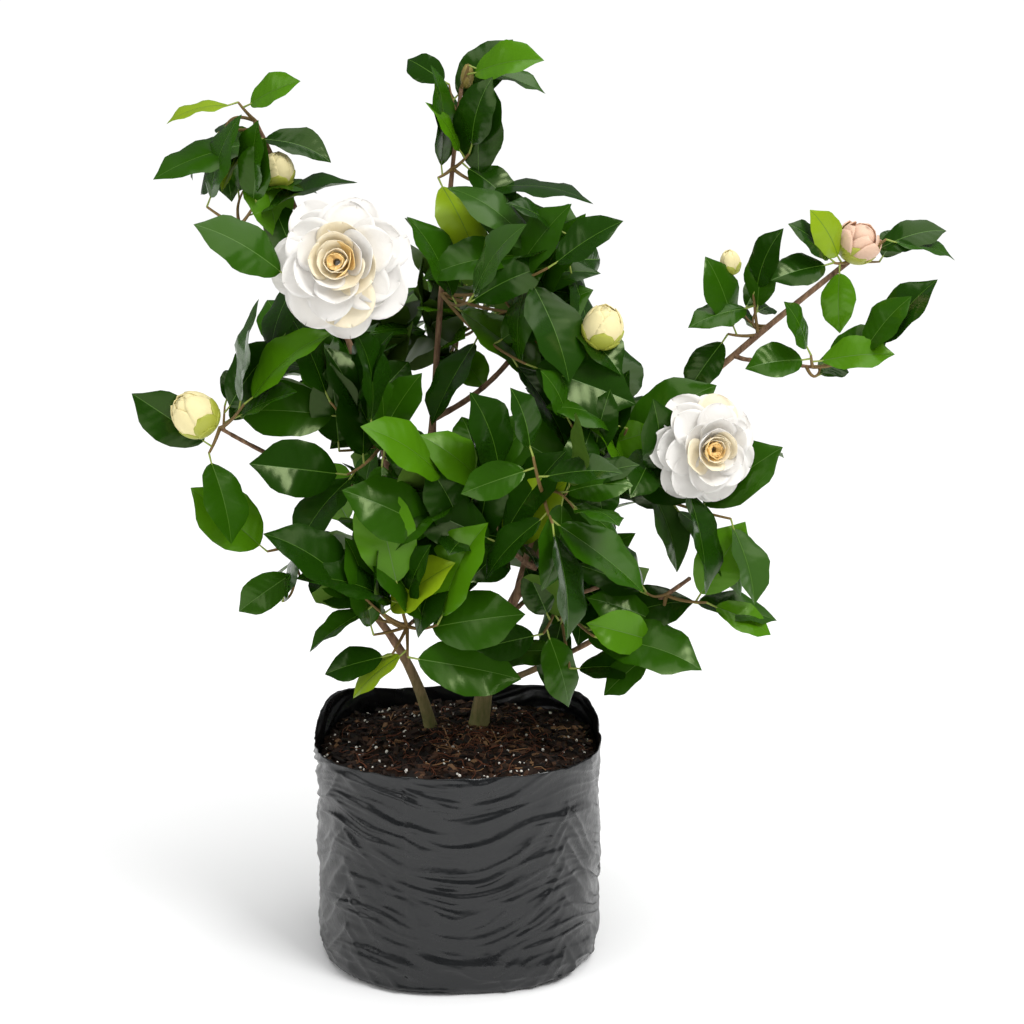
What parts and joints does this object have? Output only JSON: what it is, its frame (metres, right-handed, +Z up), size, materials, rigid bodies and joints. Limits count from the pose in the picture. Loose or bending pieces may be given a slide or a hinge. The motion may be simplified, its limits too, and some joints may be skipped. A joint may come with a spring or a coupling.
{
  "type": "camellia shrub",
  "caption": "Young flowering camellia shrub with glossy leaves, white double blooms and buds, standing in a soft black film grow bag of potting mix.",
  "frame": {"origin": "centre of the flat underside of the grow bag", "axes": "+Z up, front toward -Y, the long bare arm reaches toward +X"},
  "size_m": [0.5816, 0.3102, 0.6794],
  "materials": {
    "bag_film": "crumpled black polythene film, semi-gloss",
    "potting_mix": "moist composted bark and fibre with perlite, matt",
    "bark": "smooth to finely fissured young bark",
    "foliage": "glossy leathery evergreen leaves, white petals and cream buds"
  },
  "bodies": {
    "root": {"grow_bag": "bag_film", "potting_mix": "potting_mix", "trunk": "bark", "stem_low_left": "bark", "leader_right": "bark", "arm_right": "bark", "leader_parallel": "bark", "leader_centre": "bark", "leader_top": "bark", "leader_left": "bark", "leader_top_left": "bark", "bough_far_left": "bark", "bough_mid_left": "bark", "bough_low_right": "bark", "bough_inner_right": "bark", "bough_upper_right": "bark", "bough_arm_mid": "bark", "bough_front": "bark", "bough_core": "bark", "bough_front_centre": "bark", "bough_back_left": "bark", "bough_back_low_left": "bark", "bough_back_low_right": "bark", "bough_back": "bark", "foliage_crown_top": "foliage", "foliage_crown_upper": "foliage", "foliage_top_left": "foliage", "foliage_far_left": "foliage", "foliage_bloom_left": "foliage", "foliage_upper_right": "foliage", "foliage_centre_high": "foliage", "foliage_left_centre": "foliage", "foliage_mid_left": "foliage", "foliage_low_left": "foliage", "foliage_lower_left": "foliage", "foliage_core": "foliage", "foliage_right_centre": "foliage", "foliage_front_centre": "foliage", "foliage_arm_tip": "foliage", "foliage_arm_inner": "foliage", "foliage_arm_mid": "foliage", "foliage_bloom_right": "foliage", "foliage_low_right": "foliage", "foliage_lower_right": "foliage", "foliage_back_left": "foliage", "foliage_back_low_left": "foliage", "foliage_back_right": "foliage", "foliage_back_low_right": "foliage", "foliage_back_centre": "foliage"}
  },
  "joints": []
}
